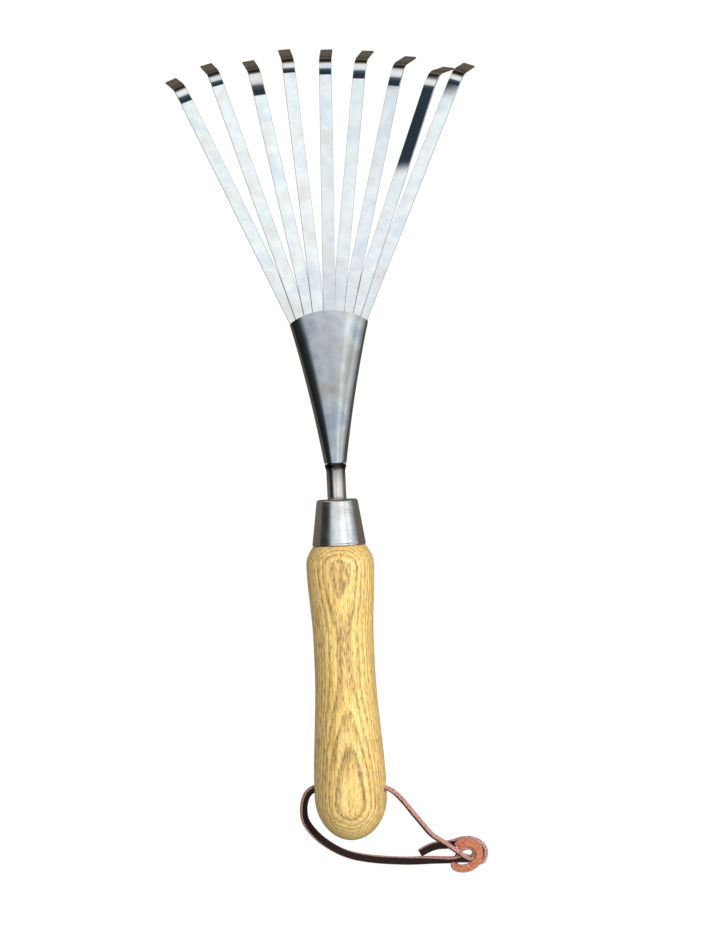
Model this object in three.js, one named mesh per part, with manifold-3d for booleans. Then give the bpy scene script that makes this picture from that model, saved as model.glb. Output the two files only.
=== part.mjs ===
// Hand leaf rake: an ash handle with a steel ferrule, a tang welded to an oval sheet socket,
// nine flat spring-steel tines that fan out of the socket and end in bent hooks, and a leather
// thong knotted through a cross-hole in the butt. Millimetres, +Z up, +Y from butt to hooks.
import * as THREE from "three";
import { mergeVertices } from "three/addons/utils/BufferGeometryUtils.js";
import Module from "manifold-3d";

const radians = THREE.MathUtils.degToRad;

// Clearances between separate pieces
const FIT_GAP = 0.3; // between pieces that touch or are pressed together
const LAYER_GAP = 0.45; // between neighbouring tines where they are stacked in the socket

// Handle, turned from ash
const HANDLE_LENGTH = 146.5; // butt to ferrule
const BUTT_RADIUS = 18.1;
const BUTT_FLAT_RADIUS = 3.6; // faced spot in the middle of the domed butt
const DOME_HEIGHT = 22;
const WAIST_RADIUS = 15.1;
const WAIST_FROM = 86;
const WAIST_TO = 100;
const BULGE_RADIUS = 16.9;
const BULGE_FROM = 136;
const BULGE_TO = 137.5;

// Cross-hole for the thong, through the widest part of the butt
const HOLE_AT = 25.4;
const HOLE_RADIUS = 3.2;
const HOLE_CHAMFER = 2.4;
const HOLE_TILT_DEG = 8; // its right-hand mouth is turned up

// Ferrule, a spun steel thimble
const FERRULE_LENGTH = 22.8;
const FERRULE_BASE_RADIUS = 13.4;
const FERRULE_TOP_RADIUS = 10.2;
const FERRULE_WALL = 1;
const FERRULE_EDGE = 1.6; // rounding of the upper edge
const FERRULE_LIP = 0.35; // rounding of the lower rim

// Tang, a round rod between handle and socket
const TANG_RADIUS = 4.75;
const TANG_IN_HANDLE = 48;
const TANG_POINT = 7;
const NECK_LENGTH = 14.2; // bare rod between ferrule and weld
const WELD_LENGTH = 3.8; // where the rod swells to meet the socket
const SPIGOT_LENGTH = 11;

// Socket, sheet steel formed from a round end to an oval mouth
const SOCKET_WALL = 1.2;
const SOCKET_END_RADIUS = 5.6;
const SOCKET_LENGTH = 75.6; // round end to the middle of the mouth
const SOCKET_FLARE = 0.28; // 0 is a straight taper, more is a trumpet
const MOUTH_ARC = 38.2; // radius of the mouth's edge, about the fan's apex
const MOUTH_MARGIN = 1.2; // side wall outside the outermost tine's edge, where it would meet the axis

// Tines, flat spring-steel strip
const TINE_WIDTH = 6.2;
const TINE_THICKNESS = 0.9;
const TINE_FAN_DEG = [-23.7, -17.1, -10.3, -4.4, 1.6, 7.7, 14.3, 20.7, 24.1];
const TINE_SIDE = [-1.6, -2.5, -2.3, -1.8, -0.4, -0.3, -0.3, -0.7, 0.9]; // root's offset at the apex
const TINE_ROLL_DEG = [-8, -8, -7, -5, 2, 11, 18, 26, 12]; // at the hooks, outer edge up
const ROOT_ROLL_DEG = 6; // in the socket, on every tine but the middle one
const ROOT_LENGTH = 20; // inside the mouth, narrowed where tines of one layer come together
const TINE_REACH = [166.8, 166.3, 162.1, 164.4, 163.2, 163.5, 163.9, 165.6, 168.8]; // apex to bend
const EASE_RADIUS = [26, 20, 50, 22, 26, 34, 36, 26, 20]; // slow curve that leads into the bend
const ROLL_GATHER = 1.6; // 1 twists a tine evenly, more gathers its twist towards the hook
const EASE_DEG = 15;
const BEND_RADIUS = 8;
const BEND_DEG = 40;
const TINE_HOOK = [14.2, 14.8, 14.4, 15.2, 15.1, 14.4, 14.4, 12, 14.4]; // past the bend

// Thong: a strap that lies as it was laid. A point is across from the axis, along from the butt,
// and up from the surface.
const THONG_RADIUS = 1.5;
const KNOT_CENTRE = [59.2, -16.7];
const KNOT_RADIUS = 8.5;
const KNOT_EYE_RADIUS = 2.6;
const KNOT_HEIGHT = 6;
const THONG_ROUTE = [
  [50, -18, 1.9],
  [39.3, -17.9, 1.8],
  [25.5, -17.8, 1.8],
  [8.1, -15.9, 1.8],
  [-5, -12.2, 1.8],
  [-16, -5, 2.2],
  [-23, 4, 4.2],
  [-24.4, 12, 8.4],
  [-22.6, 20.4, 13.2],
  [-18.6, 24.6, 15.5],
  [-12, 25.4, 16.4],
  [0, 25.4, 18.1],
  [12, 25.4, 19.8],
  [18.4, 24.6, 20.6],
  [24, 20, 19.8],
  [32.7, 7.7, 14.2],
  [39.7, -2.1, 9.4],
  [45.2, -7.9, 6.9],
  [49.4, -11.3, 5.6],
];
const TAIL_ROUTE = [
  [51.9, -10.4, 2.2],
  [47, -9.6, 1.7],
  [41.5, -10.4, 1.6],
  [34.4, -14.2, 1.6],
];

const FERRULE_AT = HANDLE_LENGTH + FIT_GAP;
const FERRULE_TOP = FERRULE_AT + FERRULE_LENGTH;
const SOCKET_AT = FERRULE_TOP + NECK_LENGTH + WELD_LENGTH;
const MOUTH_AT = SOCKET_AT + SOCKET_LENGTH;
const APEX_AT = MOUTH_AT - MOUTH_ARC;
const LAYER_STEP = TINE_THICKNESS + LAYER_GAP;
const MIDDLE = (TINE_FAN_DEG.length - 1) / 2;
const LAYERS_ABOVE_AXIS = 3.2; // of the layers below the middle tine, how many lie above the axis
const PAIR_HALF_ANGLE = radians((TINE_FAN_DEG[MIDDLE + 1] - TINE_FAN_DEG[MIDDLE - 1]) / 2);
const PAIR_HALF_SIDE = (TINE_SIDE[MIDDLE + 1] - TINE_SIDE[MIDDLE - 1]) / 2;
const TINE_TOP = LAYERS_ABOVE_AXIS * LAYER_STEP; // middle tine's height over the axis, in the socket
const MOUTH_HALF_HEIGHT = TINE_TOP + TINE_THICKNESS / 2 + SOCKET_WALL + 3 * FIT_GAP;

const wasm = await Module();
wasm.setup();

// --- Small tools -------------------------------------------------------------------------

const smooth = (t) => THREE.MathUtils.smoothstep(t, 0, 1);
const mix = THREE.MathUtils.lerp;

// A geometry as a solid that can be joined and cut.
function solidOf(geometry) {
  const bare = geometry.index ? geometry.toNonIndexed() : geometry.clone();
  bare.deleteAttribute("normal");
  bare.deleteAttribute("uv");
  const merged = mergeVertices(bare, 1e-4);
  return new wasm.Manifold(
    new wasm.Mesh({
      numProp: 3,
      vertProperties: merged.attributes.position.array,
      triVerts: new Uint32Array(merged.index.array),
    }),
  );
}

// A solid as a geometry again.
function geometryOf(solid) {
  const mesh = solid.getMesh();
  const geometry = new THREE.BufferGeometry();
  geometry.setAttribute("position", new THREE.BufferAttribute(mesh.vertProperties, 3));
  geometry.setIndex(new THREE.BufferAttribute(mesh.triVerts, 1));
  const faceted = geometry.toNonIndexed();
  faceted.computeVertexNormals();
  return faceted;
}

// A solid of revolution about the tool's axis; each point is [radius, distance from the butt].
function turned(points, segments) {
  return new THREE.LatheGeometry(
    points.map(([radius, along]) => new THREE.Vector2(radius, along)),
    segments,
  );
}

function steel(colour, roughness) {
  return new THREE.MeshStandardMaterial({ color: colour, roughness, metalness: 1 });
}

function finish(colour, roughness) {
  return new THREE.MeshStandardMaterial({ color: colour, roughness, metalness: 0 });
}

function piece(name, geometry, material) {
  const mesh = new THREE.Mesh(geometry, material);
  mesh.name = name;
  return mesh;
}

// --- Handle ------------------------------------------------------------------------------

// Radius of the grip beyond the dome, at a distance from the butt.
function gripRadius(along) {
  if (along < WAIST_FROM) {
    const t = (along - DOME_HEIGHT) / (WAIST_FROM - DOME_HEIGHT);
    return mix(BUTT_RADIUS, WAIST_RADIUS, smooth(t));
  }
  if (along < WAIST_TO) {
    return WAIST_RADIUS;
  }
  if (along < BULGE_FROM) {
    const t = (along - WAIST_TO) / (BULGE_FROM - WAIST_TO);
    return mix(WAIST_RADIUS, BULGE_RADIUS, smooth(t));
  }
  if (along < BULGE_TO) {
    return BULGE_RADIUS;
  }
  const t = (along - BULGE_TO) / (HANDLE_LENGTH - BULGE_TO);
  return mix(FERRULE_BASE_RADIUS, BULGE_RADIUS, Math.cos((t * Math.PI) / 2));
}

// Inside radius of the ferrule's tapered wall.
function ferruleBore(along) {
  const t = (along - FERRULE_AT) / FERRULE_LENGTH;
  return mix(FERRULE_BASE_RADIUS, FERRULE_TOP_RADIUS, t) - FERRULE_WALL;
}

// The thong's hole with its two countersinks, across the butt.
function crossHole() {
  const mouth = BUTT_RADIUS - HOLE_CHAMFER;
  const outside = BUTT_RADIUS + HOLE_CHAMFER;
  const wide = HOLE_RADIUS + outside - mouth;
  const hole = turned(
    [
      [0, -outside],
      [wide, -outside],
      [HOLE_RADIUS, -mouth],
      [HOLE_RADIUS, mouth],
      [wide, outside],
      [0, outside],
    ],
    20,
  );
  hole.rotateZ(-Math.PI / 2);
  hole.rotateY(-radians(HOLE_TILT_DEG));
  hole.translate(0, HOLE_AT, 0);
  return hole;
}

function handle() {
  const boreRadius = TANG_RADIUS + FIT_GAP;
  const boreEnd = FERRULE_AT - TANG_IN_HANDLE - FIT_GAP;
  const tenonTop = FERRULE_TOP - FERRULE_WALL - FIT_GAP;
  const tenonEdge = tenonTop - FERRULE_EDGE;
  const points = [[0, 0]];
  const domeStart = Math.acos(BUTT_FLAT_RADIUS / BUTT_RADIUS);
  const domeSteps = 7;
  const flatDepth = DOME_HEIGHT * (1 - Math.sin(domeStart));
  for (let i = 0; i <= domeSteps; i += 1) {
    const angle = mix(domeStart, 0, i / domeSteps);
    const along = DOME_HEIGHT - (DOME_HEIGHT - flatDepth) * (Math.sin(angle) / Math.sin(domeStart));
    points.push([BUTT_RADIUS * Math.cos(angle), Math.max(along - flatDepth, 0)]);
  }
  const gripSteps = 20;
  for (let i = 1; i <= gripSteps; i += 1) {
    const along = mix(DOME_HEIGHT, HANDLE_LENGTH, i / gripSteps);
    points.push([gripRadius(along), along]);
  }
  points.push(
    [ferruleBore(HANDLE_LENGTH) - FIT_GAP, HANDLE_LENGTH],
    [ferruleBore(tenonEdge) - FIT_GAP, tenonEdge],
    [ferruleBore(tenonEdge) - FIT_GAP - FERRULE_EDGE, tenonTop],
    [boreRadius, tenonTop],
    [boreRadius, boreEnd],
    [0, boreEnd],
  );
  const blank = solidOf(turned(points, 36));
  return geometryOf(blank.subtract(solidOf(crossHole())));
}

// --- Ferrule and tang --------------------------------------------------------------------

function ferrule() {
  const taper = (FERRULE_BASE_RADIUS - FERRULE_TOP_RADIUS) / FERRULE_LENGTH;
  const edgeAt = FERRULE_TOP - FERRULE_EDGE;
  const edgeRadius = FERRULE_TOP_RADIUS + taper * FERRULE_EDGE;
  const hole = TANG_RADIUS + FIT_GAP;
  const points = [
    [FERRULE_BASE_RADIUS - FERRULE_WALL, FERRULE_AT],
    [FERRULE_BASE_RADIUS - FERRULE_LIP, FERRULE_AT],
    [FERRULE_BASE_RADIUS, FERRULE_AT + FERRULE_LIP],
    [FERRULE_BASE_RADIUS, FERRULE_AT + 2 * FERRULE_LIP],
  ];
  const edgeSteps = 6;
  for (let i = 0; i <= edgeSteps; i += 1) {
    const angle = ((Math.PI / 2) * i) / edgeSteps;
    points.push([
      edgeRadius - FERRULE_EDGE * (1 - Math.cos(angle)),
      edgeAt + FERRULE_EDGE * Math.sin(angle),
    ]);
  }
  points.push(
    [hole, FERRULE_TOP],
    [hole, FERRULE_TOP - FERRULE_WALL],
    [ferruleBore(edgeAt) - FERRULE_EDGE, FERRULE_TOP - FERRULE_WALL],
    [ferruleBore(edgeAt), edgeAt],
    [FERRULE_BASE_RADIUS - FERRULE_WALL, FERRULE_AT],
  );
  return turned(points, 36);
}

function tang() {
  const end = FERRULE_AT - TANG_IN_HANDLE;
  const weldAt = FERRULE_TOP + NECK_LENGTH;
  const spigot = SOCKET_END_RADIUS - SOCKET_WALL - FIT_GAP;
  const faceAt = SOCKET_AT - FIT_GAP;
  const points = [
    [0, end],
    [1, end],
    [TANG_RADIUS, end + TANG_POINT],
    [TANG_RADIUS, weldAt],
  ];
  const weldSteps = 5;
  for (let i = 1; i <= weldSteps; i += 1) {
    const t = i / weldSteps;
    points.push([mix(TANG_RADIUS, SOCKET_END_RADIUS, smooth(t)), mix(weldAt, faceAt, t)]);
  }
  points.push([spigot, faceAt], [spigot, SOCKET_AT + SPIGOT_LENGTH], [0, SOCKET_AT + SPIGOT_LENGTH]);
  return turned(points, 24);
}

// --- Tines -------------------------------------------------------------------------------

// Middle line of a tine in side view: distance from the apex, height, and downward angle.
function tineLine(index, rootLength) {
  const shoulder = (TINE_WIDTH / 2 + FIT_GAP - PAIR_HALF_SIDE) / Math.tan(PAIR_HALF_ANGLE);
  const line = [{ along: MOUTH_ARC - rootLength, up: 0, down: 0 }];
  const easeAt = TINE_REACH[index] - EASE_RADIUS[index] * Math.sin(radians(EASE_DEG));
  const straightSteps = 12;
  for (let i = 0; i <= straightSteps; i += 1) {
    line.push({ along: mix(shoulder, easeAt, i / straightSteps), up: 0, down: 0 });
  }
  const bends = [
    { radius: EASE_RADIUS[index], turn: radians(EASE_DEG), steps: 4 },
    { radius: BEND_RADIUS, turn: radians(BEND_DEG), steps: 6 },
  ];
  for (const { radius, turn, steps } of bends) {
    const from = line.at(-1);
    for (let i = 1; i <= steps; i += 1) {
      const down = from.down + (turn * i) / steps;
      line.push({
        along: from.along + radius * (Math.sin(down) - Math.sin(from.down)),
        up: from.up - radius * (Math.cos(from.down) - Math.cos(down)),
        down,
      });
    }
  }
  const bent = line.at(-1);
  line.push({
    along: bent.along + TINE_HOOK[index] * Math.cos(bent.down),
    up: bent.up - TINE_HOOK[index] * Math.sin(bent.down),
    down: bent.down,
  });
  return line;
}

// A bent strip in its own frame: X away from the apex, Y up, Z across, before it is twisted.
function flatStrip(line, width, thickness) {
  const steps = line.length - 1;
  const strip = new THREE.BoxGeometry(steps, thickness, width, steps, 1, 1);
  const positions = strip.attributes.position;
  for (let i = 0; i < positions.count; i += 1) {
    const { along, up, down } = line[Math.round(positions.getX(i) + steps / 2)];
    const off = positions.getY(i);
    positions.setXY(i, along + off * Math.sin(down), up + off * Math.cos(down));
  }
  return strip;
}

// Roll of a tine about its own length: small in the socket, as set at the hook.
function rollAt(index, along) {
  const rootRoll = Math.sign(index - MIDDLE) * ROOT_ROLL_DEG;
  const t = THREE.MathUtils.clamp((along - MOUTH_ARC) / (TINE_REACH[index] - MOUTH_ARC), 0, 1);
  return radians(mix(rootRoll, TINE_ROLL_DEG[index], t ** ROLL_GATHER));
}

// How far a tine narrows towards its root, as a share of its width.
function narrowingAt(along) {
  const room = PAIR_HALF_SIDE + along * Math.tan(PAIR_HALF_ANGLE) - FIT_GAP;
  return Math.min(1, room / (TINE_WIDTH / 2));
}

// Height of a geometry's lowest point.
function lowestOf(geometry) {
  geometry.computeBoundingBox();
  return geometry.boundingBox.min.z;
}

// Turns a flat strip into its place: twisted, pitched down and swung round the apex.
function placeStrip(strip, index, pitch) {
  const positions = strip.attributes.position;
  const point = new THREE.Vector3();
  for (let i = 0; i < positions.count; i += 1) {
    point.fromBufferAttribute(positions, i);
    const roll = rollAt(index, point.x);
    const side = point.z * narrowingAt(point.x);
    const up = point.y * Math.cos(roll) + side * Math.sin(roll);
    const across = side * Math.cos(roll) - point.y * Math.sin(roll);
    positions.setXYZ(i, across, point.x - MOUTH_ARC, up);
  }
  const layer = Math.abs(index - MIDDLE);
  strip.rotateX(-pitch);
  strip.translate(0, MOUTH_ARC, TINE_TOP - layer * LAYER_STEP);
  strip.rotateZ(-radians(TINE_FAN_DEG[index]));
  strip.translate(TINE_SIDE[index], APEX_AT, 0);
  return strip;
}

// A tine with its pitch chosen so that the hook's lowest corner meets the surface.
function tine(index) {
  const strip = () => flatStrip(tineLine(index, ROOT_LENGTH), TINE_WIDTH, TINE_THICKNESS);
  let pitch = 0;
  for (let i = 0; i < 8; i += 1) {
    const spare = lowestOf(placeStrip(strip(), index, pitch)) + BUTT_RADIUS;
    pitch += Math.asin(spare / (TINE_REACH[index] - MOUTH_ARC));
  }
  return { pitch, geometry: placeStrip(strip(), index, pitch) };
}

// The room a tine needs where it passes a wall of the socket.
function tineRoom(index, pitch) {
  const line = tineLine(index, ROOT_LENGTH + FIT_GAP);
  const strip = flatStrip(line, TINE_WIDTH + 2 * FIT_GAP, TINE_THICKNESS + 2 * FIT_GAP);
  return placeStrip(strip, index, pitch);
}

// --- Socket ------------------------------------------------------------------------------

// Half-width of the mouth, from the outermost tines' outer edges where they cross its arc.
function mouthHalfWidth() {
  const edges = TINE_FAN_DEG.map((degrees, index) => {
    const angle = Math.abs(radians(degrees));
    const middle = MOUTH_ARC * Math.sin(angle) + Math.sign(degrees) * TINE_SIDE[index];
    return middle + (TINE_WIDTH / 2) * Math.cos(angle);
  });
  return Math.max(...edges) + MOUTH_MARGIN;
}

// The socket's body, shrunk by inset on every side: a unit cylinder stretched to the oval.
function socketBody(inset, from, to) {
  const endRadius = SOCKET_END_RADIUS - inset;
  const halfWidth = mouthHalfWidth() - inset;
  const halfHeight = MOUTH_HALF_HEIGHT - inset;
  const rings = 9;
  const points = [[0, from]];
  for (let i = 0; i <= rings; i += 1) {
    points.push([1, mix(from, to, i / rings)]);
  }
  points.push([0, to]);
  const body = turned(points, 40);
  const positions = body.attributes.position;
  for (let i = 0; i < positions.count; i += 1) {
    const along = positions.getY(i);
    const t = (along - SOCKET_AT) / SOCKET_LENGTH;
    const width = mix(endRadius, halfWidth, t * (1 - SOCKET_FLARE) + t * t * SOCKET_FLARE);
    const height = mix(endRadius, halfHeight, smooth(THREE.MathUtils.clamp(t, 0, 1)));
    positions.setXYZ(i, positions.getX(i) * width, along, positions.getZ(i) * height);
  }
  return solidOf(body);
}

// Everything past the mouth's edge, which is an arc about the fan's apex.
function beyondMouth() {
  const reach = MOUTH_ARC * 2;
  const quarter = Math.PI / 2;
  const outline = new THREE.Shape();
  outline.moveTo(MOUTH_ARC, 0);
  outline.lineTo(reach, 0);
  outline.lineTo(reach, reach);
  outline.lineTo(-reach, reach);
  outline.lineTo(-reach, 0);
  outline.lineTo(-MOUTH_ARC, 0);
  outline.absarc(0, 0, MOUTH_ARC, 2 * quarter, 0, true);
  const height = 4 * MOUTH_HALF_HEIGHT;
  const block = new THREE.ExtrudeGeometry(outline, {
    depth: height,
    bevelEnabled: false,
    curveSegments: 32,
  });
  block.translate(0, APEX_AT, -height / 2);
  return solidOf(block);
}

function socket(pitches) {
  const past = MOUTH_AT + SOCKET_WALL;
  const outside = socketBody(0, SOCKET_AT, past);
  const inside = socketBody(SOCKET_WALL, SOCKET_AT - SOCKET_WALL, past + SOCKET_WALL);
  let shell = outside.subtract(inside).subtract(beyondMouth());
  for (const [index, pitch] of pitches.entries()) {
    shell = shell.subtract(solidOf(tineRoom(index, pitch)));
  }
  const largest = shell.decompose().sort((a, b) => b.volume() - a.volume())[0];
  return geometryOf(largest);
}

// --- Thong -------------------------------------------------------------------------------

// A point of the thong's lie, over the surface that the butt rests on.
function laid(x, y, z) {
  return new THREE.Vector3(x, y, z - BUTT_RADIUS);
}

// A round cord solid along a route of points.
function cord(route, steps) {
  const path = new THREE.CatmullRomCurve3(
    route.map((point) => laid(...point)),
    false,
    "centripetal",
  );
  const sides = 8;
  const section = new THREE.Shape();
  for (let i = 0; i < sides; i += 1) {
    const angle = ((i + 0.5) / sides) * 2 * Math.PI;
    const corner = [THONG_RADIUS * Math.cos(angle), THONG_RADIUS * Math.sin(angle)];
    if (i === 0) {
      section.moveTo(...corner);
    } else {
      section.lineTo(...corner);
    }
  }
  section.closePath();
  return new THREE.ExtrudeGeometry(section, { extrudePath: path, steps, bevelEnabled: false });
}

// The knot's outer shape, a low ring on the surface with the eye left open.
function knot() {
  const chamfer = 1.5;
  const outer = KNOT_RADIUS;
  const eye = KNOT_EYE_RADIUS;
  const ring = turned(
    [
      [eye, 0],
      [outer - chamfer, 0],
      [outer, chamfer],
      [outer, KNOT_HEIGHT - chamfer],
      [outer - chamfer, KNOT_HEIGHT],
      [eye + chamfer, KNOT_HEIGHT],
      [eye, KNOT_HEIGHT - chamfer],
      [eye, 0],
    ],
    32,
  );
  ring.rotateX(Math.PI / 2);
  const centre = laid(...KNOT_CENTRE, 0);
  ring.translate(centre.x, centre.y, centre.z);
  return ring;
}

// --- Assembly ----------------------------------------------------------------------------

const body = new THREE.Group();
body.add(piece("handle", handle(), finish("#b8904f", 0.45)));
body.add(piece("ferrule", ferrule(), steel("#8f959b", 0.35)));
body.add(piece("tang", tang(), steel("#c3c7ca", 0.22)));

const tines = TINE_FAN_DEG.map((angle, index) => tine(index));
body.add(piece("socket", socket(tines.map(({ pitch }) => pitch)), steel("#c8cdd2", 0.2)));
for (const [index, { geometry }] of tines.entries()) {
  body.add(piece(`tine_${index + 1}`, geometry, steel("#d9dde0", 0.15)));
}

const hard = new THREE.Box3().setFromObject(body, true);

body.add(piece("lanyard_thong", cord(THONG_ROUTE, 56), finish("#33221f", 0.7)));
body.add(piece("lanyard_knot", knot(), finish("#a8694a", 0.8)));
body.add(piece("lanyard_tail", cord(TAIL_ROUTE, 10), finish("#33221f", 0.7)));

// The origin is under the middle of the tool, on the surface it lies on.
const middle = hard.getCenter(new THREE.Vector3());
body.position.set(-middle.x, -middle.y, BUTT_RADIUS);

const group = new THREE.Group();
group.add(body);

export default group;
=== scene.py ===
"""Looks of a hand leaf rake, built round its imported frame.

A turned ash handle, a spun steel ferrule, a round tang welded to an oval sheet socket, nine
hooked spring-steel tines and a flat leather thong knotted through the butt. Sizes are in
millimetres, in the tool's own frame: X across, Y from the butt to the hooks, Z up, with the
origin in the middle of the butt. They become metres in the shared frame when a mesh is settled.
"""

import logging
import math
from dataclasses import dataclass, field
from enum import Enum
from itertools import pairwise

import bpy
import bmesh
from mathutils import Matrix, Quaternion, Vector


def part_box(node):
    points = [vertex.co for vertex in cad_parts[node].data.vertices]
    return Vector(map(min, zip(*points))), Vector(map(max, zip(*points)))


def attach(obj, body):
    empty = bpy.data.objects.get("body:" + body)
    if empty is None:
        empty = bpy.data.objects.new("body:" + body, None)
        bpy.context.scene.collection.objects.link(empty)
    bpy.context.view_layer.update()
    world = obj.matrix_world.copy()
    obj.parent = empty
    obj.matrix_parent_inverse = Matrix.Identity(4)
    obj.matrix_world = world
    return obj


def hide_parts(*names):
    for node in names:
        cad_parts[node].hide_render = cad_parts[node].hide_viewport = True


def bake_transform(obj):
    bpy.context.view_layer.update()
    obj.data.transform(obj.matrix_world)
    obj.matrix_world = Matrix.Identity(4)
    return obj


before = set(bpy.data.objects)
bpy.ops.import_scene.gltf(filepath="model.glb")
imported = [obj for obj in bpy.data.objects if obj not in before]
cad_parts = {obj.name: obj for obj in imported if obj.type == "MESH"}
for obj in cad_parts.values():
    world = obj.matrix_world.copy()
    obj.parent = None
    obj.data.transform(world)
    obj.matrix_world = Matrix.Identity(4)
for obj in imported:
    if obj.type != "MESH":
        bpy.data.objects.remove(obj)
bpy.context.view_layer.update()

MM = 0.001
ROOT_BODY = "tool"
log = logging.getLogger("hand_rake")


# --- Small tools ---------------------------------------------------------------------------


def smooth(t: float) -> float:
    """Smoothstep of t, held between 0 and 1."""
    t = min(max(t, 0.0), 1.0)
    return t * t * (3 - 2 * t)


def mix(a: float, b: float, t: float) -> float:
    """The number t of the way from a to b."""
    return a + (b - a) * t


def tool_origin() -> Vector:
    """The middle of the butt, on the tool's axis, in metres in the shared frame."""
    low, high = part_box("tang")
    return Vector(((low.x + high.x) / 2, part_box("handle")[0].y, (low.z + high.z) / 2))


ORIGIN = tool_origin()
SURFACE = -ORIGIN.z / MM  # height of the surface the tool lies on, in the tool's frame


def linear(code: str) -> tuple[float, float, float, float]:
    """Turns an sRGB hex colour to linear.

    Args:
        code: Colour such as "#a0b1c2".

    Returns:
        Linear red, green, blue, and an alpha of 1.
    """
    channels = [int(code[i : i + 2], 16) / 255 for i in (1, 3, 5)]
    low, gain, offset, power = 0.04045, 12.92, 0.055, 2.4
    made = [c / gain if c <= low else ((c + offset) / (1 + offset)) ** power for c in channels]
    return (made[0], made[1], made[2], 1.0)


def deselect() -> None:
    """Deselects every object."""
    if bpy.context.object and bpy.context.object.mode != "OBJECT":
        bpy.ops.object.mode_set(mode="OBJECT")
    bpy.ops.object.select_all(action="DESELECT")


def alone(piece: bpy.types.Object) -> None:
    """Makes a piece the only one selected, and active."""
    deselect()
    piece.select_set(True)
    bpy.context.view_layer.objects.active = piece


def named(name: str) -> bpy.types.Object:
    """Names the object that an operator has just added, and applies its place."""
    made = bpy.context.object
    made.name = name
    made.data.name = name
    bpy.ops.object.transform_apply(location=True, rotation=True, scale=True)
    return made


def apply_modifier(piece: bpy.types.Object, kind: str, **settings: object) -> None:
    """Adds a modifier to a piece and applies it.

    Args:
        piece: The piece it works on.
        kind: Blender's name for the modifier.
        **settings: Its settings.
    """
    alone(piece)
    made = piece.modifiers.new(kind.title(), kind)
    for key, value in settings.items():
        setattr(made, key, value)
    bpy.ops.object.modifier_apply(modifier=made.name)


def shade(piece: bpy.types.Object, angle_deg: float = 35) -> None:
    """Shades a piece smooth, with edges sharper than the angle kept crisp."""
    alone(piece)
    bpy.ops.object.shade_smooth_by_angle(angle=math.radians(angle_deg))


def settle(piece: bpy.types.Object) -> bpy.types.Object:
    """Moves a finished mesh from the tool's frame to the shared frame."""
    piece.data.transform(Matrix.Translation(ORIGIN))
    piece.data.update()
    return piece


@dataclass(frozen=True)
class Ring:
    """One station of a turned or lofted form.

    Attributes:
        along: Distance from the butt.
        half_width: Half its size across.
        half_height: Half its size up and down; the same as half_width where it is None.
    """

    along: float
    half_width: float
    half_height: float | None = None

    @property
    def rise(self) -> float:
        """Half the ring's height."""
        return self.half_width if self.half_height is None else self.half_height


def loft(name: str, rings: list[Ring], segments: int, hollow: bool = False) -> bpy.types.Object:
    """Draws a circle out through a list of rings along the tool's axis.

    Args:
        name: The piece's name.
        rings: Stations in order. A hollow form's last ring is its first one again.
        segments: Sides of the circle.
        hollow: Whether the rings close on themselves as a wall, with no end caps.

    Returns:
        The piece, closed, with its faces out.
    """
    deselect()
    first = rings[0]
    bpy.ops.mesh.primitive_circle_add(
        vertices=segments,
        radius=MM,
        fill_type="NOTHING" if hollow else "NGON",
        location=(0, first.along * MM, 0),
        rotation=(math.pi / 2, 0, 0),
    )
    piece = named(name)
    bpy.ops.object.mode_set(mode="EDIT")
    bpy.ops.mesh.select_all(action="SELECT")
    bpy.ops.transform.resize(
        value=(first.half_width, 1, first.rise), center_override=(0, first.along * MM, 0)
    )
    for last, ring in pairwise(rings):
        step = (0, (ring.along - last.along) * MM, 0)
        bpy.ops.mesh.extrude_region_move(TRANSFORM_OT_translate={"value": step})
        bpy.ops.transform.resize(
            value=(ring.half_width / last.half_width, 1, ring.rise / last.rise),
            center_override=(0, ring.along * MM, 0),
        )
    bpy.ops.mesh.select_all(action="SELECT")
    if hollow:
        bpy.ops.mesh.remove_doubles(threshold=1e-6)
    bpy.ops.mesh.normals_make_consistent(inside=False)
    bpy.ops.object.mode_set(mode="OBJECT")
    return piece


def cut(piece: bpy.types.Object, tool: bpy.types.Object, operation: str = "DIFFERENCE") -> None:
    """Cuts a piece with another, which is then deleted."""
    apply_modifier(piece, "BOOLEAN", object=tool, operation=operation, solver="EXACT")
    bpy.data.objects.remove(tool)


def dress(piece: bpy.types.Object, finish: bpy.types.Material) -> None:
    """Gives a piece one material."""
    piece.data.materials.clear()
    piece.data.materials.append(finish)


def node(
    tree: bpy.types.NodeTree,
    kind: str,
    inputs: dict[str | int, object] | None = None,
    stops: list[tuple[float, str]] | None = None,
    **settings: object,
) -> bpy.types.Node:
    """Adds a node with its settings and links.

    Args:
        tree: The node tree it goes in.
        kind: Blender's name for the node.
        inputs: Value or linked output for each input socket.
        stops: Place and hex colour of each stop, on a colour ramp.
        **settings: The node's own settings.

    Returns:
        The node.
    """
    made = tree.nodes.new(kind)
    for key, value in settings.items():
        setattr(made, key, value)
    for socket, value in (inputs or {}).items():
        target = made.inputs[socket]
        if isinstance(value, bpy.types.NodeSocket):
            tree.links.new(value, target)
        else:
            target.default_value = value
    if stops:
        elements = made.color_ramp.elements
        while len(elements) < len(stops):
            elements.new(1.0)
        for element, (place, code) in zip(elements, stops):
            element.position = place
            element.color = linear(code)
    return made


def new_material(name: str) -> tuple[bpy.types.Material, bpy.types.NodeTree, bpy.types.Node]:
    """Starts a material.

    Args:
        name: The finish it shows.

    Returns:
        The material, its tree and its shader.
    """
    made = bpy.data.materials.new(name)
    made.use_nodes = True
    return made, made.node_tree, made.node_tree.nodes["Principled BSDF"]


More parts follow.
